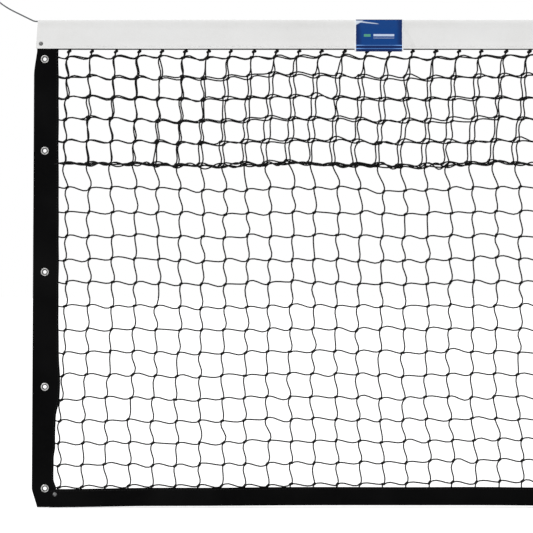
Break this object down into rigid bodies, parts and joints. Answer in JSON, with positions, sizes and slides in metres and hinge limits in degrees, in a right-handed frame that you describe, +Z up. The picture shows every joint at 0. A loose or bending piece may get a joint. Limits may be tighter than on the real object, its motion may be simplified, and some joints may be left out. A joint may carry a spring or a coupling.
{
  "type": "tennis net",
  "caption": "Tennis net: square twine mesh hung from a steel cable in a folded white headband, edged with black tapes with grommets, free to swing under the headband.",
  "frame": {"origin": "on the headline cable's axis, midway between the net's two ends", "axes": "+X along the net to the right as seen from the front, +Y away from the front, +Z up"},
  "size_m": [13.015, 0.012, 1.1727],
  "materials": {
    "rope_steel": "stranded wire",
    "cable_vinyl": "smooth satin",
    "galvanised_steel": "galvanised, dull",
    "crimp_aluminium": "pressed, satin",
    "headband_cloth": "coated woven cloth, faint sheen",
    "white_thread": "twisted thread",
    "rivet_steel": "dull nickel",
    "label_backing_vinyl": "glossy",
    "label_vinyl": "glossy print",
    "border_cord": "braided",
    "twine": "braided, slightly waxy",
    "tape_cloth": "plain-woven webbing",
    "black_thread": "twisted thread",
    "grommet_nickel": "nickel plated, rubbed"
  },
  "bodies": {
    "cable": {"cable_core": "rope_steel", "cable_coat": "cable_vinyl", "cable_tail_left": "cable_vinyl", "cable_tail_right": "cable_vinyl", "eye_loop_left": "cable_vinyl", "eye_loop_right": "cable_vinyl", "thimble_left": "galvanised_steel", "thimble_right": "galvanised_steel", "ferrule_left": "crimp_aluminium", "ferrule_right": "crimp_aluminium"},
    "headband": {"headband": "headband_cloth", "headband_seams": "white_thread", "headband_rivets": "rivet_steel", "label_backing": "label_backing_vinyl", "label_face": "label_vinyl"},
    "netting": {"top_border_cord": "border_cord", "netting_columns": "twine", "netting_rows": "twine", "second_layer_columns": "twine", "second_layer_rows": "twine", "second_layer_lacing": "border_cord", "side_tape_left": "tape_cloth", "side_tape_right": "tape_cloth", "side_seams_left": "black_thread", "side_seams_right": "black_thread", "bottom_tape": "tape_cloth", "bottom_seams": "black_thread", "grommets_left": "grommet_nickel", "grommets_right": "grommet_nickel", "grommet_washers_left": "grommet_nickel", "grommet_washers_right": "grommet_nickel", "corner_rivets": "rivet_steel"}
  },
  "joints": [
    {"name": "headband_swing", "type": "hinge", "parent": "cable", "child": "headband", "pos_m": [0, 0, 0], "axis": [1, 0, 0], "range_deg": [-45, 45]},
    {"name": "netting_swing", "type": "hinge", "parent": "headband", "child": "netting", "pos_m": [0, 0, -0.06066], "axis": [1, 0, 0], "range_deg": [-45, 45]}
  ]
}
